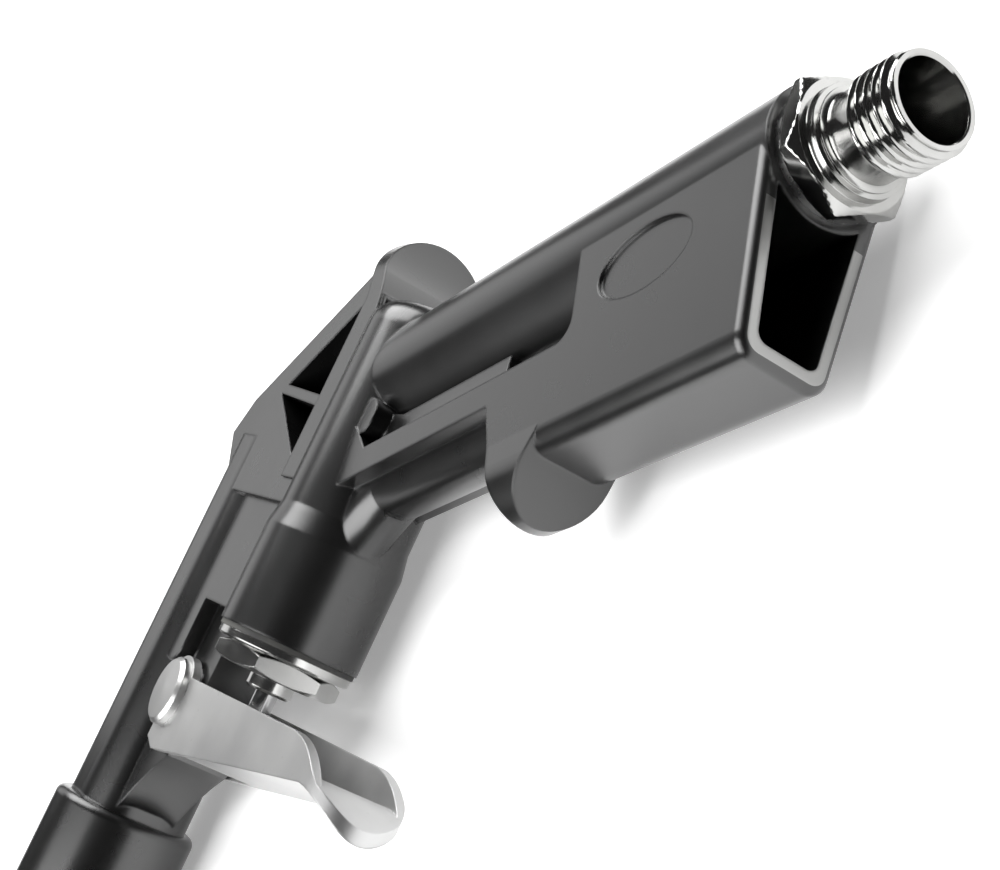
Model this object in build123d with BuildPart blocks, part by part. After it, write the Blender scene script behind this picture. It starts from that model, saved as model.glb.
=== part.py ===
"""Hand-held tyre inflator gun: a die-cast lever gun that lets workshop air into a hose.

Millimetres. The origin is the centre of the air inlet's mouth. +X runs to the rear, parallel to
the barrel, so the muzzle points to -X. +Y runs to the top of the gun. +Z comes out of the gun's
left side and is up when the gun lies on its right side on a bench. Z = 0 is the plane of symmetry.
"""

import os
from math import atan2, cos, radians, sin, sqrt

from build123d import *

os.makedirs("parts", exist_ok=True)

# ---------------------------------------------------------------- driving dimensions
grip_angle = 70.0  # grip axis below the barrel line, degrees
valve_x, valve_y = -83.5, 109.0  # centre of the valve housing's front rim
barrel_rise = 36.5  # barrel axis above the valve axis

# G1/4 parallel pipe thread, used at both air connections
thread_major_r = 13.157 / 2
hex_flats = 17.0

# grip: a round air tube at the back, thin side walls and a rounded front wall
grip_end = 17.0  # end of the grip, up from the inlet mouth
end_round = 1.3
grip_top = 116.0  # where the grip axis meets the valve axis
tube_r = 9.5
draft_gap = 0.2  # how far the side walls start inside the tube
grip_front = 30.0  # front wall ahead of the grip axis
front_half = 6.4
wall = 2.4
tube_bore_r = 4.5
port_r, port_depth = 6.35, 12.0  # threaded ports of both air connections
rail_back, rail_front = 16.0, 20.2  # plain strip of side wall that runs on up to the neck
neck_k, neck_half = 19.4, 4.9
grip_web_half = 2.5
grip_hollow_depth = 34.0
badge_length, badge_width, badge_depth = 19.0, 9.5, 0.5
badge_s, badge_k = 39.0, -9.8
bump_top, bump_slope = 72.0, 0.36  # where its top leaves the rail, and how far it drops going forward
bump_tip, bump_foot = 37.0, 56.5

# valve housing
housing_r = 11.55
neck_r = 10.8
housing_length = 16.5
housing_back = 57.0
horn_half, horn_turn = 10.1, 60.2
valve_bore_r = 8.0
valve_bore_depth = 31.0
spring_bore_r = 6.5
spring_bore_depth = 50.0

# barrel, plate and web
barrel_width, barrel_height, barrel_corner = 19.6, 20.4, 8.0
barrel_front = -36.4
sleeve_r, sleeve_front, sleeve_round = 12.5, -57.0, 1.5
plate_half = 9.6
shelf_half = 8.0
web_half = 5.2
pocket_floor = 3.5
barrel_bore_r = 4.0
passage_r = 2.75
passage_x = 16.0

# trigger lever: a pressed channel that hangs from a rivet
pivot_x, pivot_y = -14.4, 19.5  # from the valve rim centre
rivet_r = 3.0
bush_r = 4.0
rivet_head_r = 5.7
lever_inner, lever_sheet = 5.9, 1.5
ear_r = 6.4

# valve train along the valve axis
stem_r = 1.9
stem_tip = -19.6
seat_back = 31.0
running_gap = 0.05

a = radians(grip_angle)
grip_up = Plane(origin=(0, 0, 0), x_dir=(sin(a), cos(a), 0), z_dir=(-cos(a), sin(a), 0))
grip_side = Plane(origin=(0, 0, 0), x_dir=(sin(a), cos(a), 0), z_dir=(0, 0, 1))
grip_axis = Axis((0, 0, 0), (-cos(a), sin(a), 0))
valve_side = Plane(origin=(valve_x, valve_y, 0), x_dir=(1, 0, 0), z_dir=(0, 0, 1))
valve_axis = Axis((valve_x, valve_y, 0), (1, 0, 0))
barrel_y = valve_y + barrel_rise
barrel_side = Plane(origin=(valve_x, barrel_y, 0), x_dir=(1, 0, 0), z_dir=(0, 0, 1))
barrel_axis = Axis((valve_x, barrel_y, 0), (1, 0, 0))
barrel_end_on = Plane(origin=(valve_x, barrel_y, 0), x_dir=(0, 1, 0), z_dir=(1, 0, 0))
valve_end_on = Plane(origin=(valve_x, valve_y, 0), x_dir=(0, 1, 0), z_dir=(1, 0, 0))
pivot_plane = Plane(origin=(valve_x + pivot_x, valve_y + pivot_y, 0), x_dir=(1, 0, 0), z_dir=(0, 0, 1))


def finish(builder, label):
    """Label a piece and write its STEP file."""
    builder.part.label = label
    export_step(builder.part, f"parts/{label}.step")


def badge_plane(side):
    """Floor of the sunken oval on the drafted side wall; side is 1 on the left and -1 on the right."""
    draft = atan2(tube_r - draft_gap - front_half, grip_front)
    half = tube_r - draft_gap + badge_k * (tube_r - draft_gap - front_half) / grip_front - badge_depth
    normal = (-sin(draft) * sin(a), -sin(draft) * cos(a), side * cos(draft))
    foot = (-badge_s * cos(a) + badge_k * sin(a), badge_s * sin(a) + badge_k * cos(a), side * half)
    return Plane(origin=foot, x_dir=(-cos(a), sin(a), 0), z_dir=normal)


# ---------------------------------------------------------------- body casting
# Bump on the front of the grip that keeps the hand from sliding up under the valve: a short tongue
# with a round end.
bump_r = front_half + 0.3
bump_lip = bump_top - (bump_tip - rail_front) * bump_slope
with BuildPart() as finger_bump:
    with BuildSketch(grip_side) as bump_side:
        with BuildLine():
            Polyline(
                (-25, bump_foot), (-18, bump_foot), (-18, bump_top), (-rail_front, bump_top),
                (-bump_tip, bump_lip), (-bump_tip, bump_lip - 2.0),
            )
            ThreePointArc((-bump_tip, bump_lip - 2.0), (-32.4, 60.4), (-25, bump_foot))
        make_face()
    extrude(amount=bump_r, both=True)
    with BuildSketch(grip_up):
        with Locations(((bump_r - bump_tip - 10) / 2, 0)):
            Rectangle(bump_tip - bump_r - 10, 2 * bump_r)
        with Locations((bump_r - bump_tip, 0)):
            Circle(bump_r)
    extrude(amount=100, mode=Mode.INTERSECT)

# Rear horn: a broad tongue with a round end that rests on the web of the hand.
with BuildPart() as horn:
    with BuildSketch(valve_side):
        with BuildLine():
            Line((24, 3), (24, 10))
            Polyline((24, 10), (56, 10), (61, 12.5))
            ThreePointArc((61, 12.5), (66, 15.2), (70.5, 16.0))
            Line((70.5, 16.0), (70.5, 13.2))
            ThreePointArc((70.5, 13.2), (65.5, 11.2), (61, 7.6))
            ThreePointArc((61, 7.6), (57.5, 5.0), (53, 3.0))
            Line((53, 3.0), (24, 3))
        make_face()
    extrude(amount=horn_half, both=True)
    with BuildSketch(Plane(origin=(valve_x, valve_y, 0), x_dir=(1, 0, 0), z_dir=(0, -1, 0))):
        with Locations(((24 + horn_turn) / 2, 0)):
            Rectangle(horn_turn - 24, 2 * horn_half)
        with Locations((horn_turn, 0)):
            Circle(horn_half)
    extrude(amount=30, both=True, mode=Mode.INTERSECT)

# Fairing that carries the neck of the grip into the valve housing: a round edge swept along an arc.
fairing_from, fairing_over, fairing_to = (14.23, -5.75), (26.61, -11.88), (33.5, -28.6)
with BuildPart() as neck_fairing:
    with BuildLine(valve_side) as fairing_path:
        ThreePointArc(fairing_from, fairing_over, fairing_to)
    with BuildSketch(Plane(origin=fairing_path.line @ 0, z_dir=fairing_path.line % 0)):
        Circle(neck_half)
    sweep(path=fairing_path.line)
    with BuildSketch(valve_side):
        with BuildLine():
            ThreePointArc(fairing_from, fairing_over, fairing_to)
            Polyline(fairing_to, (39, -25), (38, -2), (14.23, -2), fairing_from)
        make_face()
    extrude(amount=neck_half, both=True)

with BuildPart() as body_casting:
    # grip: drafted side walls and front wall, rounded over at the grip's end
    with BuildSketch(grip_up.offset(grip_end)) as grip_section:
        with BuildLine():
            Polyline(
                (0, tube_r - draft_gap), (-grip_front, front_half), (-grip_front, -front_half),
                (0, draft_gap - tube_r), close=True,
            )
        make_face()
        fillet(grip_section.vertices().sort_by(Axis.X)[:2], 3.0)
    extrude(amount=grip_top - grip_end)
    end_face = body_casting.faces().sort_by(grip_axis)[0]
    fillet(end_face.edges().filter_by(lambda e: e.center().dot(grip_up.x_dir) < -1), end_round)
    # above the bump the front steps back to the rail, where the first finger lies
    with BuildSketch(grip_side):
        with BuildLine():
            Polyline(
                (-rail_front, bump_top), (-rail_front, 130), (-45, 130), (-45, bump_lip - 3), close=True,
            )
        make_face()
    extrude(amount=20, both=True, mode=Mode.SUBTRACT)
    # a window in each side, between the tube and the rail, leaves a thin middle web
    for side in (1, -1):
        with BuildSketch(grip_side.offset(side * grip_web_half)):
            with BuildLine():
                Polyline((-rail_back, 57), (-rail_back, 108), (-3, 120), (-2, 54.3), (-12.8, 53.6))
                ThreePointArc((-12.8, 53.6), (-15.2, 54.6), (-rail_back, 57))
            make_face()
        extrude(amount=side * 12, mode=Mode.SUBTRACT)
    with BuildSketch(grip_up.offset(grip_end)):
        Circle(tube_r)
    extrude(amount=grip_top - grip_end)
    # narrow neck in front of the rail
    with BuildSketch(grip_up.offset(74)):
        with Locations((-neck_k / 2 - 5, 0)):
            Rectangle(neck_k - 10, 2 * neck_half)
        with Locations((-neck_k, 0)):
            Circle(neck_half)
    extrude(amount=38)
    add(finger_bump.part)
    # plate between the barrel and the valve, sloping down to the horn
    with BuildSketch(valve_side):
        with BuildLine():
            Polyline(
                (20, 4), (20, barrel_rise), (30, 46.7), (36.5, 43.0), (60.5, 13.5), (56, 2), close=True,
            )
        make_face()
    extrude(amount=plate_half, both=True)
    # shelf and web that carry the lever's pivot below the barrel
    with BuildSketch(valve_side):
        with BuildLine():
            Polyline((1.5, 6), (1.5, barrel_rise), (22, barrel_rise), (22, 6), close=True)
        make_face()
        with BuildLine():
            Polyline((1.5, 24), (-6.5, 24), (-6.5, 31), (1.5, 31), close=True)
        make_face()
        with Locations((-6.5, 27.5)):
            Circle(3.5)
    extrude(amount=shelf_half, both=True)
    with BuildSketch(valve_side):
        with BuildLine():
            Polyline((4, 12.2), (4, barrel_rise), (-36, barrel_rise), (-36, 27.5))
            ThreePointArc((-36, 27.5), (-30, 22.5), (-23.5, 14.5))
            Polyline((-23.5, 14.5), (-21, 12.2), (4, 12.2))
        make_face()
    extrude(amount=web_half, both=True)
    # pockets that lighten the plate, with a thin rib between them
    for side in (1, -1):
        with BuildSketch(valve_side.offset(side * pocket_floor)):
            with BuildLine():
                Polyline((38.3, 31.0), (26.6, 9.0), (26.6, 3), (36.0, 3), close=True)
            make_face()
            with BuildLine():
                Polyline((40.0, 29.5), (38.0, 3), (54, 3), (54.5, 12.0), close=True)
            make_face()
        extrude(amount=side * 12, mode=Mode.SUBTRACT)
    # barrel with flat flanks, and the round sleeve at the muzzle
    with BuildSketch(barrel_end_on.offset(barrel_front)):
        RectangleRounded(barrel_height, barrel_width, barrel_corner)
    extrude(amount=30 - barrel_front)
    with BuildSketch(barrel_side):
        with BuildLine():
            sleeve_start = (barrel_front - sleeve_round, sleeve_r)
            sleeve_foot = (barrel_front, sleeve_r - sleeve_round)
            Polyline((barrel_front, 0), (sleeve_front, 0), (sleeve_front, sleeve_r), sleeve_start)
            RadiusArc(sleeve_start, sleeve_foot, sleeve_round)
            Line(sleeve_foot, (barrel_front, 0))
        make_face()
    revolve(axis=barrel_axis)
    # valve housing: the wide front cylinder, its neck and the passage that runs back to the horn
    with BuildSketch(valve_side):
        with BuildLine():
            Polyline(
                (0, 0), (0, housing_r), (housing_length, housing_r), (housing_length + 4, neck_r),
                (housing_back - 5, neck_r),
            )
            RadiusArc((housing_back - 5, neck_r), (housing_back, neck_r - 5), 5)
            Polyline((housing_back, neck_r - 5), (housing_back, 0), (0, 0))
        make_face()
    revolve(axis=valve_axis)
    add(neck_fairing.part)
    add(horn.part)
    # small round boss where the tube meets the valve housing
    with BuildSketch(valve_side):
        with Locations((36.5, -8.5)):
            Circle(3.0)
    extrude(amount=shelf_half, both=True)

    # hollow of the grip, open at its end
    with BuildSketch(grip_up.offset(grip_end)) as hollow:
        with BuildLine():
            back_half = tube_r - draft_gap - wall
            Polyline(
                (0, back_half), (-grip_front + wall, front_half - wall + 0.3),
                (-grip_front + wall, -front_half + wall - 0.3), (0, -back_half),
                close=True,
            )
        make_face()
        fillet(hollow.vertices().sort_by(Axis.X)[:2], 1.6)
        Circle(tube_r, mode=Mode.SUBTRACT)
    extrude(amount=grip_hollow_depth, mode=Mode.SUBTRACT)
    # sunken oval on each side wall
    for side in (1, -1):
        with BuildSketch(badge_plane(side)):
            Ellipse(badge_length / 2, badge_width / 2)
        extrude(amount=4, mode=Mode.SUBTRACT)
    # air way up the tube, with the threaded seat of the inlet nipple
    with BuildSketch(grip_up.offset(grip_end)):
        Circle(tube_bore_r)
    extrude(amount=grip_top - grip_end, mode=Mode.SUBTRACT)
    with BuildSketch(grip_up.offset(grip_end)):
        Circle(port_r)
    extrude(amount=port_depth, mode=Mode.SUBTRACT)
    # stepped bore of the valve
    with BuildSketch(valve_end_on):
        Circle(valve_bore_r)
    extrude(amount=valve_bore_depth, mode=Mode.SUBTRACT)
    with BuildSketch(valve_end_on):
        Circle(spring_bore_r)
    extrude(amount=spring_bore_depth, mode=Mode.SUBTRACT)
    # passage from the valve up to the barrel, and the barrel's bore
    with BuildSketch(Plane(origin=(valve_x + passage_x, valve_y, 0), x_dir=(1, 0, 0), z_dir=(0, 1, 0))):
        Circle(passage_r)
    extrude(amount=barrel_rise + 20, mode=Mode.SUBTRACT)
    with BuildSketch(barrel_end_on.offset(sleeve_front)):
        Circle(barrel_bore_r)
    extrude(amount=passage_x + 3 - sleeve_front, mode=Mode.SUBTRACT)
    with BuildSketch(barrel_end_on.offset(sleeve_front)):
        Circle(port_r)
    extrude(amount=port_depth, mode=Mode.SUBTRACT)
    # hole for the pivot bush
    with BuildSketch(pivot_plane):
        Circle(bush_r)
    extrude(amount=20, both=True, mode=Mode.SUBTRACT)
finish(body_casting, "body_casting")


# ---------------------------------------------------------------- air connections
hex_front, hex_back = 12.85, 16.0
thread_length = 7.8
nipple_bore_r, mouth_r = 3.6, 5.25
neck_turned_r, collar_r, collar_width = 5.7, 7.2, 1.3
washer_r = 8.3


def side_of(end_on):
    """The plane through the axis of an end-on plane: x is the radius, y runs along the axis."""
    return Plane(origin=end_on.origin, x_dir=end_on.x_dir, z_dir=end_on.x_dir.cross(end_on.z_dir))


def turn(end_on, outline, mode=Mode.ADD):
    """Turn a closed outline of (radius, station) points about the axis of an end-on plane."""
    with BuildSketch(side_of(end_on)) as profile:
        with BuildLine():
            Polyline(*outline, close=True)
        make_face()
    revolve(profile.sketch, axis=Axis(end_on.origin, end_on.z_dir), mode=mode)


def hexagon(end_on, front, back, flats, turned_by=0.0):
    """A hexagon between two stations, its corners bevelled on both faces."""
    with BuildSketch(end_on.offset(front)) as outline:
        RegularPolygon(flats / 2, 6, major_radius=False, rotation=turned_by)
    extrude(outline.sketch, amount=back - front)
    corner_r = flats / sqrt(3)
    face_r = flats / 2 * 0.97
    bevel = (corner_r - face_r) * 0.45
    turn(
        end_on,
        [
            (0, front), (face_r, front), (corner_r, front + bevel),
            (corner_r, back - bevel), (face_r, back), (0, back),
        ],
        mode=Mode.INTERSECT,
    )


def nipple(end_on):
    """A double-ended G1/4 nipple, bored through, with a cone seat in its mouth."""
    with BuildPart() as made:
        hexagon(end_on, hex_front, hex_back, hex_flats, 14.0)
        port_thread_r, port_end = port_r - running_gap, hex_back + port_depth
        turn(end_on, [
            (0, 0), (thread_major_r, 0), (thread_major_r, thread_length),
            (neck_turned_r, thread_length + 0.6), (neck_turned_r, hex_front - collar_width),
            (collar_r, hex_front - collar_width), (collar_r, hex_front), (5.0, hex_front), (5.0, hex_back),
            (port_thread_r, hex_back), (port_thread_r, port_end - 0.5), (port_thread_r - 0.5, port_end),
            (0, port_end),
        ])
        turn(end_on, [
            (0, -1), (mouth_r, -1), (mouth_r, 0), (mouth_r - 0.35, 3.0),
            (nipple_bore_r, 8.0), (nipple_bore_r, 30), (0, 30),
        ], mode=Mode.SUBTRACT)
    return made


def washer(end_on, start, end, outer_r, inner_r):
    """A flat ring between two stations."""
    with BuildPart() as made:
        turn(end_on, [(inner_r, start), (outer_r, start), (outer_r, end), (inner_r, end)])
    return made


inlet_end_on = grip_up
outlet_end_on = Plane(
    origin=(valve_x + sleeve_front - grip_end, barrel_y, 0), x_dir=(0, 1, 0), z_dir=(1, 0, 0)
)
finish(nipple(inlet_end_on), "inlet_nipple")
finish(washer(inlet_end_on, hex_back, grip_end, washer_r, 6.75), "inlet_washer")
finish(nipple(outlet_end_on), "outlet_nipple")
finish(washer(outlet_end_on, hex_back, grip_end, washer_r, 6.75), "outlet_washer")

# gauze thimble that stops dirt at the inlet, held by its rim behind the nipple
filter_rim, filter_rim_r = grip_end + port_depth - 1.0, port_r - running_gap
with BuildPart() as inlet_filter:
    turn(inlet_end_on, [
        (3.4, filter_rim), (filter_rim_r, filter_rim), (filter_rim_r, filter_rim + 1),
        (4.3, filter_rim + 1),
        (4.0, filter_rim + 11), (0, filter_rim + 11), (0, filter_rim + 10.3), (3.4, filter_rim + 10.3),
    ])
finish(inlet_filter, "inlet_filter")

# ---------------------------------------------------------------- valve train
nut_flats = 18.0
nut_flange_r, nut_flange_front, gasket = 11.0, -2.3, 0.8
nut_hex_front, nut_boss_front, nut_boss_r = -5.6, -7.8, 3.8
nut_tail = 8.0
cage_back = 26.5
poppet_face, poppet_back = 33.4, 35.6

with BuildPart() as valve_nut:
    hexagon(valve_end_on, nut_hex_front, nut_flange_front, nut_flats, 20.0)
    spigot_r = valve_bore_r - running_gap
    turn(valve_end_on, [
        (0, nut_boss_front), (nut_boss_r - 0.4, nut_boss_front), (nut_boss_r, nut_boss_front + 0.4),
        (nut_boss_r, nut_hex_front), (6, nut_hex_front), (6, nut_flange_front),
        (nut_flange_r - 0.3, nut_flange_front), (nut_flange_r, nut_flange_front + 0.3),
        (nut_flange_r, -gasket),
        (spigot_r, -gasket), (spigot_r, nut_tail), (0, nut_tail),
    ])
    turn(valve_end_on, [
        (0, nut_boss_front - 1), (stem_r + running_gap, nut_boss_front - 1), (stem_r + running_gap, 0.5),
        (4.2, 0.5), (4.2, nut_tail + 1), (0, nut_tail + 1),
    ], mode=Mode.SUBTRACT)
finish(valve_nut, "valve_nut")
finish(washer(valve_end_on, -gasket, 0, 11.2, 8.1), "valve_nut_gasket")


def o_ring(end_on, station, mean_r, cord_r):
    """A round-section rubber ring."""
    with BuildPart() as made:
        with BuildSketch(side_of(end_on)):
            with Locations((mean_r, station)):
                Circle(cord_r)
        revolve(axis=Axis(end_on.origin, end_on.z_dir))
    return made


finish(o_ring(valve_end_on, 1.63, 3.075, 1.12), "stem_seal")
finish(washer(valve_end_on, 2.8, 6.5, 4.2, stem_r + running_gap), "gland_ring")

# brass cage that spaces the seat from the nut; its ports line up with the passage to the barrel
with BuildPart() as valve_cage:
    turn(valve_end_on, [(6.2, nut_tail), (7.9, nut_tail), (7.9, cage_back), (6.2, cage_back)])
    with Locations((valve_x + passage_x, valve_y, 0)):
        Cylinder(2.9, 20, rotation=(90, 0, 0), mode=Mode.SUBTRACT)
        Cylinder(2.9, 20, mode=Mode.SUBTRACT)
finish(valve_cage, "valve_cage")

with BuildPart() as valve_seat:
    turn(valve_end_on, [
        (3.4, cage_back), (7.9, cage_back), (7.9, 28.0), (6.1, 28.0), (6.1, 29.9), (7.9, 29.9),
        (7.9, seat_back),
        (4.6, seat_back), (4.0, seat_back + 0.8), (3.4, seat_back + 0.8),
    ])
finish(valve_seat, "valve_seat")
finish(o_ring(valve_end_on, 28.95, 7.05, 0.89), "seat_o_ring")

with BuildPart() as valve_stem:
    turn(valve_end_on, [
        (0, stem_tip), (stem_r - 0.9, stem_tip), (stem_r - 0.25, stem_tip + 0.35), (stem_r, stem_tip + 1.0),
        (stem_r, poppet_back - 0.4), (0, poppet_back - 0.4),
    ])
finish(valve_stem, "valve_stem")

with BuildPart() as valve_poppet:
    turn(valve_end_on, [
        (stem_r, poppet_face), (5.5, poppet_face), (5.5, poppet_back), (2.9, poppet_back),
        (2.9, poppet_back + 3),
        (0, poppet_back + 3), (0, poppet_back - 0.4), (stem_r, poppet_back - 0.4),
    ])
finish(valve_poppet, "valve_poppet")
finish(washer(valve_end_on, seat_back + 0.85, poppet_face, 5.3, stem_r), "poppet_seal")

spring_mean_r, spring_wire_r, spring_turns = 3.95, 0.45, 5.5
spring_front = poppet_back + spring_wire_r + 0.02
spring_length = spring_bore_depth - spring_wire_r - 0.05 - spring_front
with BuildPart() as valve_spring:
    with BuildLine() as coil:
        Helix(
            pitch=spring_length / spring_turns, height=spring_length, radius=spring_mean_r,
            center=(valve_x + spring_front, valve_y, 0), direction=(1, 0, 0),
        )
    with BuildSketch(Plane(origin=coil.line @ 0, z_dir=coil.line % 0)):
        Circle(spring_wire_r)
    sweep(is_frenet=True)
finish(valve_spring, "valve_spring")

# ---------------------------------------------------------------- trigger lever
# The web's outer face leans back towards the grip as it goes down, and its tail turns forward.
web_top, web_bend = 5.0, -44.0
web_lean = 0.138
tail_x, tail_y = -18.4, -54.0
tail_start, tail_length = -45.6, 8.1
tail_half = lever_inner + lever_sheet


def web_x(y):
    """Outer face of the lever's web at a height from the valve axis."""
    return -23.8 + (17.8 - y) * web_lean


with BuildPart() as trigger_lever:
    with BuildSketch(valve_side):
        with BuildLine():
            outer_bend = (web_x(web_bend), web_bend)
            inner_bend = (web_x(web_bend) + 1.52, web_bend + 0.2)
            Line((web_x(web_top), web_top), outer_bend)
            outer_tail = TangentArc(outer_bend, (tail_x - 1.1, tail_y), tangent=(web_lean, -1))
            Line(outer_tail @ 1, (tail_x, tail_y - 1.0))
            inner_tail = TangentArc(inner_bend, (tail_x, tail_y - 1.0), tangent=(web_lean, -1))
            Polyline(inner_bend, (web_x(web_top) + 1.52, web_top + 0.2), (web_x(web_top), web_top))
        make_face()
    extrude(amount=lever_inner + lever_sheet, both=True)
    for side in (1, -1):
        with BuildSketch(valve_side.offset(side * lever_inner)):
            with BuildLine():
                Polyline(
                    (web_x(-49.5), -49.5), (web_x(17.8), 17.8), (-22.4, 22.0), (-19.5, 22.0), (-14.4, 25.8),
                    (-10.9, 14.0), (-9.6, -34.5),
                )
                ThreePointArc((-9.6, -34.5), (-10.9, -43.0), (web_x(-49.5), -49.5))
            make_face()
            with Locations((pivot_x, pivot_y)):
                Circle(ear_r)
        extrude(amount=side * lever_sheet)
    # the tail is rounded off across its width
    with BuildSketch(Plane(origin=(valve_x, valve_y, 0), x_dir=(0, 1, 0), z_dir=(1, 0, 0))):
        with Locations((tail_start + 40, 0)):
            Rectangle(80, 2 * tail_half)
        with Locations((tail_start, 0)):
            Ellipse(tail_length, tail_half)
    extrude(amount=60, both=True, mode=Mode.INTERSECT)
    with BuildSketch(pivot_plane):
        Circle(rivet_r)
    extrude(amount=20, both=True, mode=Mode.SUBTRACT)
finish(trigger_lever, "trigger_lever")

# ---------------------------------------------------------------- pivot
ear_face = lever_inner + lever_sheet
with BuildPart() as pivot_rivet:
    turn(pivot_plane, [
        (0, -ear_face - 1.5), (3.4, -ear_face - 1.5), (4.8, -ear_face - 0.7), (5.0, -ear_face),
        (rivet_r, -ear_face), (rivet_r, ear_face), (rivet_head_r, ear_face),
        (rivet_head_r, ear_face + 1.1), (rivet_head_r - 0.6, ear_face + 1.7),
        (0, ear_face + 1.9),
    ])
finish(pivot_rivet, "pivot_rivet")
finish(washer(pivot_plane, -web_half, web_half, bush_r, rivet_r + running_gap), "pivot_bush")
finish(washer(pivot_plane, web_half, lever_inner - 0.1, 5.6, rivet_r + 0.1), "pivot_washer_left")
finish(washer(pivot_plane, -lever_inner + 0.1, -web_half, 5.6, rivet_r + 0.1), "pivot_washer_right")

# ---------------------------------------------------------------- plug over the cross passage
plug_top, plug_length = barrel_height / 2 - 0.3, 5.0
plug_plane = Plane(
    origin=(valve_x + passage_x, barrel_y + plug_top, 0), x_dir=(1, 0, 0), z_dir=(0, -1, 0)
)
with BuildPart() as passage_plug:
    turn(plug_plane, [
        (0, 0), (passage_r - 0.3, 0), (passage_r, 0.3), (passage_r, plug_length), (0, plug_length),
    ])
    with BuildSketch(plug_plane):
        RegularPolygon(1.5, 6, major_radius=False)
    extrude(amount=3, mode=Mode.SUBTRACT)
finish(passage_plug, "passage_plug")
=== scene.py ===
from math import cos, pi, radians, sin

import bmesh
import bpy
from mathutils import Matrix, Vector


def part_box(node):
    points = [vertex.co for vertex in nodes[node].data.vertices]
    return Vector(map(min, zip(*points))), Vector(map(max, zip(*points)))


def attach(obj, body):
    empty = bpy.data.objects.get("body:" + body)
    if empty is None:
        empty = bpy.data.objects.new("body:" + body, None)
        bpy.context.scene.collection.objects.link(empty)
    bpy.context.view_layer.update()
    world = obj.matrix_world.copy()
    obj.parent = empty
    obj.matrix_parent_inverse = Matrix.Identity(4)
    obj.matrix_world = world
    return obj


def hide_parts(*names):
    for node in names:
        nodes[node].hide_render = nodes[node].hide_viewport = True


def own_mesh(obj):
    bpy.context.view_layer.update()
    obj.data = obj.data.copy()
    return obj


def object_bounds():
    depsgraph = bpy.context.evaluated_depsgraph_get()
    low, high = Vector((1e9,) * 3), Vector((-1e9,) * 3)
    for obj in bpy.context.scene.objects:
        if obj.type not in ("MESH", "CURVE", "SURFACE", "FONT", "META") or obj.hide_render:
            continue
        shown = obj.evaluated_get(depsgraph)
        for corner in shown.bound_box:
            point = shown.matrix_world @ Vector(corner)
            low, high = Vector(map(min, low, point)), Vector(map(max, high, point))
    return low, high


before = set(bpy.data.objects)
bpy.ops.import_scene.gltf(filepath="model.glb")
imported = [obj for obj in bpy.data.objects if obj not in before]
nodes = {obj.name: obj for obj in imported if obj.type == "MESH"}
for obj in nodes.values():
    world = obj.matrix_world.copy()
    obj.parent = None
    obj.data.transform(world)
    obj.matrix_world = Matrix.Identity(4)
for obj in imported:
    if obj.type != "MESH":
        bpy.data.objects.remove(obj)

cad_box = [list(corner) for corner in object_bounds()]
scene = bpy.context.scene
mm = 0.001

# ---- Viewpoint
# The gun lies on its right side. It is seen from in front of and below the grip, from the left side, with the camera
# rolled so that the grip's threaded end points up and to the right.
eye = Vector((-0.0824, -0.1703, 0.1037))
camera_right = Vector((0.4186, -0.4154, -0.8076))
camera_up = Vector((0.8968, 0.0490, 0.4396))
camera_back = camera_right.cross(camera_up).normalized()
camera_right = camera_up.cross(camera_back).normalized()
camera_up = camera_back.cross(camera_right)
camera_data = bpy.data.cameras.new("camera")
camera_data.lens = 68.33
camera_data.sensor_width = 36.0
camera_data.clip_start = 0.01
camera = bpy.data.objects.new("camera", camera_data)
scene.collection.objects.link(camera)
turn = Matrix((camera_right, camera_up, camera_back)).transposed()
camera.matrix_world = Matrix.Translation(eye) @ turn.to_4x4()
scene.camera = camera

# ---- Floor and light
# A white floor that glows faintly, three soft panels, and a room that is white to the eye but dim all round.
floor_height = cad_box[0][2] - 0.02 * mm
bm = bmesh.new()
bmesh.ops.create_grid(bm, x_segments=1, y_segments=1, size=3.0)
bmesh.ops.translate(bm, verts=bm.verts, vec=(0, 0, floor_height))
floor_mesh = bpy.data.meshes.new("floor")
bm.to_mesh(floor_mesh)
bm.free()
floor = bpy.data.objects.new("floor", floor_mesh)
scene.collection.objects.link(floor)
floor_paint = bpy.data.materials.new("floor")
floor_paint.use_nodes = True
floor_shader = floor_paint.node_tree.nodes["Principled BSDF"]
floor_shader.inputs["Base Color"].default_value = (0.93, 0.93, 0.93, 1)
floor_shader.inputs["Roughness"].default_value = 0.7
floor_shader.inputs["Specular IOR Level"].default_value = 0.1
floor_shader.inputs["Emission Color"].default_value = (1, 1, 1, 1)
floor_shader.inputs["Emission Strength"].default_value = 0.3
floor_mesh.materials.append(floor_paint)

room = bpy.data.worlds.new("room")
scene.world = room
room.use_nodes = True
room.node_tree.nodes["Background"].inputs["Color"].default_value = (1, 1, 1, 1)
# the room is white behind the gun, but dim all round, so that bright metal has dark to mirror
seen = room.node_tree.nodes.new("ShaderNodeLightPath")
strength = room.node_tree.nodes.new("ShaderNodeMapRange")
strength.inputs["To Min"].default_value = 0.03
strength.inputs["To Max"].default_value = 0.9
room.node_tree.links.new(seen.outputs["Is Camera Ray"], strength.inputs["Value"])
room.node_tree.links.new(strength.outputs[0], room.node_tree.nodes["Background"].inputs["Strength"])
scene.view_settings.view_transform = "Standard"


def panel(name, place, aim, size, power):
    """A soft square light facing a point on the gun."""
    data = bpy.data.lights.new(name, "AREA")
    data.shape = "SQUARE"
    data.size = size
    data.energy = power
    made = bpy.data.objects.new(name, data)
    scene.collection.objects.link(made)
    facing = (Vector(place) - Vector(aim)).to_track_quat("Z", "Y")
    made.matrix_world = Matrix.Translation(place) @ facing.to_matrix().to_4x4()


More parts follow.
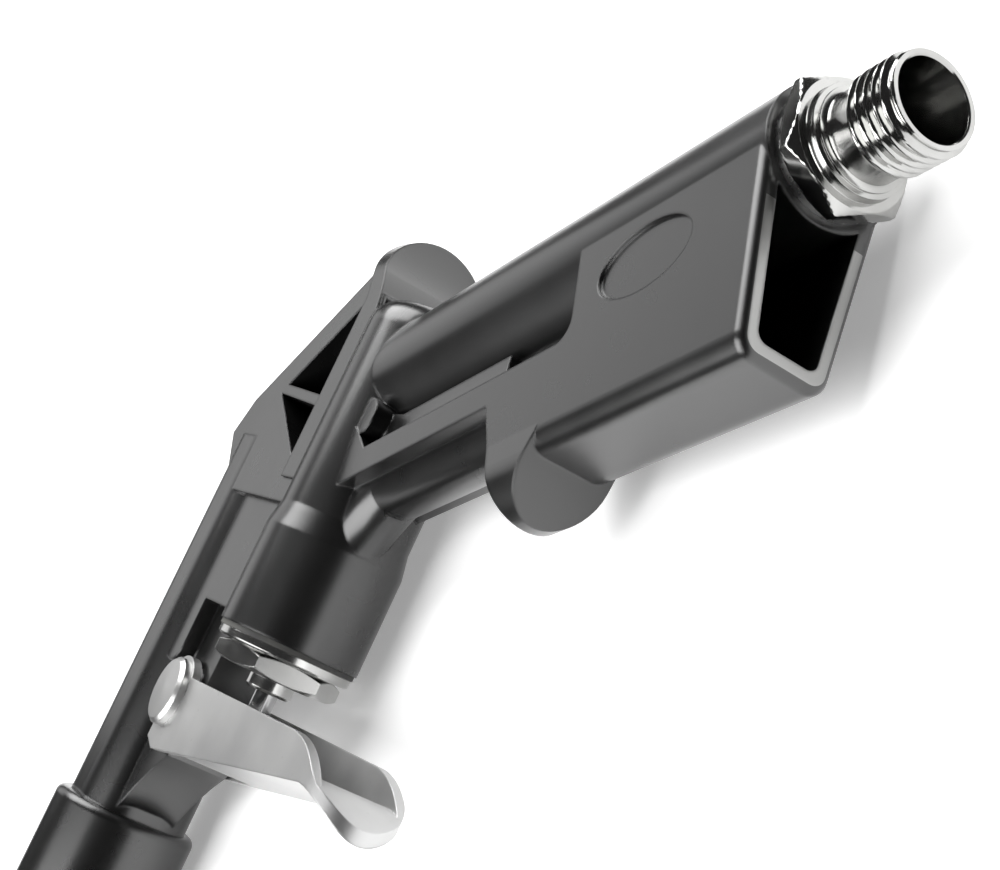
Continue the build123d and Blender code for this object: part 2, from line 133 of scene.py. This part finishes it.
panel("front_panel", (-0.85, 0.1, 1.0), (-0.07, 0.12, 0.0), 1.2, 21.0)
panel("back_panel", (0.75, 0.6, 1.0), (-0.07, 0.2, 0.0), 1.2, 23.0)
panel("rear_panel", (0.05, 1.0, 0.45), (-0.07, 0.08, 0.0), 0.5, 0.7)

# ---- Body casting
# One aluminium die casting: barrel, valve housing, plate, horn and hollow grip. It is powder coated satin black, with
# the grip's end milled back to bare metal after coating.
grip_angle = radians(70)
grip_line = Vector((-cos(grip_angle), sin(grip_angle), 0))
grip_front = Vector((-sin(grip_angle), -cos(grip_angle), 0))
grip_end = 17.0 * mm
tube_radius = 9.5 * mm
rim_depth, rim_gap = 0.05 * mm, 0.1 * mm


def node_of(tree, kind, **values):
    """A new shader node with its settings and unlinked inputs."""
    made = tree.nodes.new(kind)
    for name, value in values.items():
        if name in made.inputs.keys():
            made.inputs[name].default_value = value
        else:
            setattr(made, name, value)
    return made


def number_input(group, name, value):
    """A number socket on a node group."""
    socket = group.interface.new_socket(name, in_out="INPUT", socket_type="NodeSocketFloat")
    socket.default_value = value


def grain_group():
    """Fine orange peel, broad cloudiness and sparse dust, all from the piece's own coordinates."""
    group = bpy.data.node_groups.new("grain", "ShaderNodeTree")
    number_input(group, "Fine", 1500.0)
    number_input(group, "Broad", 90.0)
    number_input(group, "Dust", 0.5)
    for name in ("Height", "Cloud", "Specks"):
        group.interface.new_socket(name, in_out="OUTPUT", socket_type="NodeSocketFloat")
    start = group.nodes.new("NodeGroupInput")
    end = group.nodes.new("NodeGroupOutput")
    place = group.nodes.new("ShaderNodeTexCoord")
    fine = node_of(group, "ShaderNodeTexNoise", Detail=3.0, Roughness=0.6)
    broad = node_of(group, "ShaderNodeTexNoise", Detail=4.0, Roughness=0.55)
    specks = node_of(group, "ShaderNodeTexVoronoi", Scale=420.0)
    near = node_of(group, "ShaderNodeMath", operation="LESS_THAN")
    near.inputs[1].default_value = 0.1
    cloud = node_of(group, "ShaderNodeMapRange")
    cloud.inputs["From Min"].default_value = 0.35
    cloud.inputs["From Max"].default_value = 0.65
    patch = node_of(group, "ShaderNodeMath", operation="MULTIPLY")
    amount = node_of(group, "ShaderNodeMath", operation="MULTIPLY")
    link = group.links.new
    for texture in (fine, broad, specks):
        link(place.outputs["Object"], texture.inputs["Vector"])
    link(start.outputs["Fine"], fine.inputs["Scale"])
    link(start.outputs["Broad"], broad.inputs["Scale"])
    link(specks.outputs["Distance"], near.inputs[0])
    link(broad.outputs["Fac"], cloud.inputs["Value"])
    link(near.outputs[0], patch.inputs[0])
    link(cloud.outputs[0], patch.inputs[1])
    link(patch.outputs[0], amount.inputs[0])
    link(start.outputs["Dust"], amount.inputs[1])
    link(fine.outputs["Fac"], end.inputs["Height"])
    link(cloud.outputs[0], end.inputs["Cloud"])
    link(amount.outputs[0], end.inputs["Specks"])
    return group


grain = grain_group()


def finish_of(
    name, dark, light, rough, metallic, fine=1500.0, broad=90.0, dust=0.5, bump=0.1, depth=0.04, edge=0.35
):
    """A surface whose colour and gloss drift between two values, with grain and softened edges."""
    made = bpy.data.materials.new(name)
    made.use_nodes = True
    tree = made.node_tree
    shader = tree.nodes["Principled BSDF"]
    shader.inputs["Metallic"].default_value = metallic
    skin = node_of(tree, "ShaderNodeGroup", node_tree=grain)
    skin.inputs["Fine"].default_value = fine
    skin.inputs["Broad"].default_value = broad
    skin.inputs["Dust"].default_value = dust
    tone = node_of(tree, "ShaderNodeMix", data_type="RGBA")
    tone.inputs["A"].default_value = (*dark, 1)
    tone.inputs["B"].default_value = (*light, 1)
    dusty = node_of(tree, "ShaderNodeMix", data_type="RGBA", name="dusty")
    dusty.inputs["B"].default_value = (0.06, 0.06, 0.06, 1)
    gloss = node_of(tree, "ShaderNodeMapRange")
    gloss.inputs["To Min"].default_value, gloss.inputs["To Max"].default_value = rough
    soft = node_of(tree, "ShaderNodeBevel", samples=4)
    soft.inputs["Radius"].default_value = edge * mm
    relief = node_of(tree, "ShaderNodeBump", Strength=bump, Distance=depth * mm, name="relief")
    link = tree.links.new
    link(skin.outputs["Cloud"], tone.inputs["Factor"])
    link(tone.outputs["Result"], dusty.inputs["A"])
    link(skin.outputs["Specks"], dusty.inputs["Factor"])
    link(dusty.outputs["Result"], shader.inputs["Base Color"])
    link(skin.outputs["Cloud"], gloss.inputs["Value"])
    link(gloss.outputs[0], shader.inputs["Roughness"])
    link(skin.outputs["Height"], relief.inputs["Height"])
    link(soft.outputs["Normal"], relief.inputs["Normal"])
    link(relief.outputs["Normal"], shader.inputs["Normal"])
    return made


def dress(node, surface):
    """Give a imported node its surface."""
    for place in nodes[node].material_slots:
        place.material = surface


coat = finish_of(
    "black_coat", (0.003, 0.003, 0.003), (0.006, 0.006, 0.006), (0.26, 0.31), 0.0,
    broad=40.0, dust=0.0, bump=0.05, edge=0.6,
)
tree = coat.node_tree
coat_shader = tree.nodes["Principled BSDF"]
coat_shader.inputs["Specular IOR Level"].default_value = 1.0
coat_shader.inputs["Coat Weight"].default_value = 0.3
coat_shader.inputs["Coat Roughness"].default_value = 0.22
coat_shader.inputs["Coat IOR"].default_value = 1.5
# bare metal shows only on the flat rim of the grip's end
place = tree.nodes.new("ShaderNodeTexCoord")
height_up = node_of(tree, "ShaderNodeVectorMath", operation="DOT_PRODUCT")
height_up.inputs[1].default_value = grip_line
bare = node_of(tree, "ShaderNodeMath", operation="LESS_THAN")
bare.inputs[1].default_value = grip_end + rim_depth
metal = node_of(tree, "ShaderNodeMix", data_type="RGBA")
metal.inputs["B"].default_value = (0.30, 0.30, 0.295, 1)
ahead = node_of(tree, "ShaderNodeVectorMath", operation="DOT_PRODUCT")
ahead.inputs[1].default_value = grip_front
clear = node_of(tree, "ShaderNodeMath", operation="GREATER_THAN")
clear.inputs[1].default_value = tube_radius + rim_gap
rim = node_of(tree, "ShaderNodeMath", operation="MULTIPLY")
tree.links.new(place.outputs["Object"], ahead.inputs[0])
tree.links.new(ahead.outputs["Value"], clear.inputs[0])
tree.links.new(clear.outputs[0], rim.inputs[0])
tree.links.new(bare.outputs[0], rim.inputs[1])
tree.links.new(place.outputs["Object"], height_up.inputs[0])
tree.links.new(height_up.outputs["Value"], bare.inputs[0])
tree.links.new(rim.outputs[0], metal.inputs["Factor"])
tree.links.new(tree.nodes["dusty"].outputs["Result"], metal.inputs["A"])
tree.links.new(metal.outputs["Result"], coat_shader.inputs["Base Color"])
tree.links.new(rim.outputs[0], coat_shader.inputs["Metallic"])
dress("body_casting", coat)

# ---- Air connections
# Two turned brass nipples, nickel plated, with a pipe thread at each end and a hexagon between. They screw into the
# grip's tube and the muzzle over thin zinc-plated washers.
thread_pitch = 1.337
thread_top, thread_root = 6.5785, 5.75
thread_start, thread_end = 0.15, 7.8
thread_fade, thread_rows = 0.9, 56
flank_slope, flank_offset, root_rise = 3.2, 0.28, 0.12
hex_front, hex_back, hex_half = 12.85, 16.0, 8.5
hex_face, hex_bevel_slope, hex_rows = hex_half * 0.985, 1.5, 14
bore_radius, inner_end = 3.6, 27.9
round_steps = 120


def turning_group():
    """Fine tool marks that follow one coordinate of the piece, such as a distance along its axis."""
    group = bpy.data.node_groups.new("turning", "ShaderNodeTree")
    group.interface.new_socket("Along", in_out="INPUT", socket_type="NodeSocketFloat")
    number_input(group, "Scale", 9000.0)
    group.interface.new_socket("Height", in_out="OUTPUT", socket_type="NodeSocketFloat")
    start = group.nodes.new("NodeGroupInput")
    end = group.nodes.new("NodeGroupOutput")
    marks = node_of(group, "ShaderNodeTexNoise", noise_dimensions="1D", Detail=2.0)
    group.links.new(start.outputs["Along"], marks.inputs["W"])
    group.links.new(start.outputs["Scale"], marks.inputs["Scale"])
    group.links.new(marks.outputs["Fac"], end.inputs["Height"])
    return group


turning = turning_group()


def turned_finish(name, dark, light, rough, axis, scale=9000.0, mark=0.06, **values):
    """A bright turned metal: the plain finish with tool marks across an axis."""
    made = finish_of(name, dark, light, rough, 1.0, **values)
    tree = made.node_tree
    place = tree.nodes.new("ShaderNodeTexCoord")
    along = node_of(tree, "ShaderNodeVectorMath", operation="DOT_PRODUCT")
    along.inputs[1].default_value = axis
    marks = node_of(tree, "ShaderNodeGroup", node_tree=turning)
    marks.inputs["Scale"].default_value = scale
    cut = node_of(tree, "ShaderNodeBump", Strength=mark, Distance=0.03 * mm)
    tree.links.new(place.outputs["Object"], along.inputs[0])
    tree.links.new(along.outputs["Value"], marks.inputs["Along"])
    tree.links.new(marks.outputs["Height"], cut.inputs["Height"])
    tree.links.new(tree.nodes["relief"].outputs["Normal"], cut.inputs["Normal"])
    tree.links.new(cut.outputs["Normal"], tree.nodes["Principled BSDF"].inputs["Normal"])
    return made


def thread_radius(station, angle):
    """Radius of the screw thread, fading in at the mouth and out at the neck."""
    phase = (station / thread_pitch - angle / (2 * pi)) % 1.0
    rise = min(max((0.5 - abs(phase - 0.5)) * flank_slope - flank_offset, 0.0), 1.0)
    fade_in = min(max((station - thread_start) / thread_fade, 0.0), 1.0)
    fade_out = min(max((thread_end - station) / thread_fade, 0.0), 1.0)
    fade = fade_in * fade_out
    return thread_root + root_rise + (thread_top - thread_root - root_rise) * rise * fade


def hex_radius(station, angle):
    """Radius of the hexagon, cut back to a cone at its corners on both faces."""
    from_flat = angle % (pi / 3) - pi / 6
    flat = hex_half / cos(from_flat)
    bevel = hex_face + hex_bevel_slope * min(station - hex_front, hex_back - station)
    return min(flat, max(bevel, hex_face))


def nipple(name, node, mouth, inward, corner, surface):
    """Turn one nipple round its axis, then cut its thread and its six flats."""
    outline = [(bore_radius, inner_end), (bore_radius, 8.0), (4.9, 3.0), (5.25, 0.2), (5.45, 0.0), (6.05, 0.0)]
    for row in range(thread_rows + 1):
        outline.append((thread_root, thread_start + (thread_end - thread_start) * row / thread_rows))
    outline += [(5.82, 7.95), (5.82, 10.9), (6.0, 11.05), (6.6, 11.2), (6.6, 11.5)]
    outline += [(7.2, 11.6), (7.2, 12.6), (7.3, 12.84)]
    for row in range(hex_rows + 1):
        outline.append((hex_face, hex_front + (hex_back - hex_front) * row / hex_rows))
    outline += [(6.25, hex_back), (6.25, 27.4), (5.8, inner_end)]
    bm = bmesh.new()
    ring = [bm.verts.new((radius * mm, 0, station * mm)) for radius, station in outline]
    for first, second in zip(ring, ring[1:] + ring[:1]):
        bm.edges.new((first, second))
    bmesh.ops.spin(
        bm, geom=bm.verts[:] + bm.edges[:], cent=(0, 0, 0), axis=(0, 0, 1), angle=2 * pi, steps=round_steps,
        use_merge=True,
    )
    bmesh.ops.remove_doubles(bm, verts=bm.verts, dist=0.001 * mm)
    for vert in bm.verts:
        station = vert.co.z / mm
        radius = Vector((vert.co.x, vert.co.y)).length / mm
        angle = -Vector((1, 0)).angle_signed(Vector((vert.co.x, vert.co.y)), 0)
        new_radius = radius
        if abs(radius - thread_root) < 0.01 and station <= thread_end + 0.01:
            new_radius = thread_radius(station, angle)
        elif abs(radius - hex_face) < 0.01:
            new_radius = hex_radius(station, angle)
        vert.co.x *= new_radius / radius
        vert.co.y *= new_radius / radius
    bmesh.ops.recalc_face_normals(bm, faces=bm.faces)
    across = inward.cross(corner)
    turn = Matrix((corner, across, inward)).transposed().to_4x4()
    bmesh.ops.transform(bm, verts=bm.verts, matrix=Matrix.Translation(mouth) @ turn)
    mesh = bpy.data.meshes.new(name)
    bm.to_mesh(mesh)
    bm.free()
    mesh.shade_smooth()
    mesh.set_sharp_from_angle(angle=radians(32))
    mesh.materials.append(surface)
    piece = bpy.data.objects.new(name, mesh)
    scene.collection.objects.link(piece)
    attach(piece, "gun")
    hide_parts(node)


inlet_mouth = Vector((0, 0, 0))
outlet_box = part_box("outlet_nipple")
outlet_mouth = Vector((outlet_box[0].x, (outlet_box[0].y + outlet_box[1].y) / 2, 0))
inlet_metal = turned_finish(
    "inlet_nickel", (0.42, 0.42, 0.41), (0.52, 0.52, 0.51), (0.10, 0.17), grip_line, dust=0.1, bump=0.03, edge=0.08
)
outlet_metal = turned_finish(
    "outlet_nickel", (0.42, 0.42, 0.41), (0.52, 0.52, 0.51), (0.10, 0.17), (1, 0, 0), dust=0.1, bump=0.03, edge=0.08
)
nipple("inlet_nipple_turned", "inlet_nipple", inlet_mouth, grip_line, -grip_front, inlet_metal)
nipple("outlet_nipple_turned", "outlet_nipple", outlet_mouth, Vector((1, 0, 0)), Vector((0, 1, 0)), outlet_metal)
washer_zinc = finish_of(
    "washer_zinc", (0.50, 0.50, 0.50), (0.64, 0.64, 0.63), (0.22, 0.34), 1.0, broad=300.0, edge=0.15
)
dress("inlet_washer", washer_zinc)
dress("outlet_washer", washer_zinc)

# ---- Valve nut and stem
# A flanged hexagon nut, turned and nickel plated, that closes the housing. The ground steel stem slides in its boss.
# The same steel serves the pivot washers and the plug of the cross passage.
valve_line = Vector((1, 0, 0))
nut_metal = turned_finish(
    "nut_nickel", (0.60, 0.60, 0.59), (0.70, 0.70, 0.69), (0.14, 0.22), valve_line, dust=0.15, bump=0.04, edge=0.25
)
dress("valve_nut", nut_metal)
stem_steel = turned_finish(
    "stem_steel", (0.50, 0.50, 0.51), (0.62, 0.62, 0.62), (0.12, 0.2), valve_line, scale=16000.0, dust=0.05, edge=0.12
)
for node in ("valve_stem", "pivot_washer_left", "pivot_washer_right", "passage_plug"):
    dress(node, stem_steel)

# ---- Valve spring
# A coil of spring steel wire behind the poppet. Its rear end stands on the casting. The real spring shortens as the
# stem slides in; this coil is built at one length and rides with the gun.
spring_low, spring_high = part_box("valve_spring")
wire_radius = 0.44 * mm
coil_turns, coil_steps = 5.5, 36
coil_radius = (spring_high.y - spring_low.y) / 2 - wire_radius
coil_length = spring_high.x - spring_low.x - 2 * wire_radius
bm = bmesh.new()
bmesh.ops.create_circle(bm, segments=12, radius=wire_radius)
bmesh.ops.rotate(bm, verts=bm.verts, cent=(0, 0, 0), matrix=Matrix.Rotation(pi / 2, 3, "X"))
bmesh.ops.translate(bm, verts=bm.verts, vec=(coil_radius, 0, 0))
step_count = round(coil_turns * coil_steps)
bmesh.ops.spin(
    bm, geom=bm.verts[:] + bm.edges[:], cent=(0, 0, 0), axis=(0, 0, 1), angle=2 * pi * coil_turns, steps=step_count,
    dvec=(0, 0, coil_length / step_count),
)
bmesh.ops.holes_fill(bm, edges=[edge for edge in bm.edges if edge.is_boundary])
bmesh.ops.recalc_face_normals(bm, faces=bm.faces)
spring_start = Vector((spring_low.x + wire_radius, (spring_low.y + spring_high.y) / 2, 0))
along_x = Matrix(((0, 0, 1), (1, 0, 0), (0, 1, 0))).to_4x4()
bmesh.ops.transform(bm, verts=bm.verts, matrix=Matrix.Translation(spring_start) @ along_x)
spring_mesh = bpy.data.meshes.new("valve_spring_coil")
bm.to_mesh(spring_mesh)
bm.free()
spring_mesh.shade_smooth()
spring_mesh.set_sharp_from_angle(angle=radians(40))
spring_mesh.materials.append(stem_steel)
spring = bpy.data.objects.new("valve_spring_coil", spring_mesh)
scene.collection.objects.link(spring)
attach(spring, "gun")
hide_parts("valve_spring")
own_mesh(spring)

# ---- Gasket
# Pressed fibre under the nut's flange.
fibre = finish_of(
    "gasket_fibre", (0.05, 0.05, 0.05), (0.11, 0.11, 0.10), (0.6, 0.75), 0.0, fine=3500.0, bump=0.3, edge=0.1
)
dress("valve_nut_gasket", fibre)

# ---- Inside the valve
# Turned brass cage, seat, poppet and gland, with moulded rubber rings.
brass = turned_finish(
    "turned_brass", (0.60, 0.43, 0.17), (0.74, 0.55, 0.25), (0.2, 0.3), valve_line, dust=0.1, edge=0.12
)
for node in ("valve_cage", "valve_seat", "valve_poppet", "gland_ring", "pivot_bush", "inlet_filter"):
    dress(node, brass)
rubber = finish_of("ring_rubber", (0.012, 0.012, 0.012), (0.03, 0.03, 0.03), (0.45, 0.6), 0.0, fine=2500.0, bump=0.15)
for node in ("stem_seal", "seat_o_ring", "poppet_seal"):
    dress(node, rubber)

# ---- Trigger lever and rivet
# A channel pressed from 1.5 mm steel sheet and zinc plated, with a tail turned forward. It swings on a steel rivet
# with a domed head.
lever_zinc = finish_of(
    "lever_zinc", (0.54, 0.54, 0.54), (0.62, 0.62, 0.615), (0.40, 0.46), 1.0,
    fine=6000.0, broad=60.0, dust=0.1, bump=0.05, edge=0.3,
)
dress("trigger_lever", lever_zinc)
rivet_zinc = finish_of(
    "rivet_zinc", (0.58, 0.58, 0.58), (0.66, 0.66, 0.655), (0.30, 0.36), 1.0,
    fine=6000.0, broad=60.0, dust=0.0, bump=0.02, edge=0.3,
)
dress("pivot_rivet", rivet_zinc)
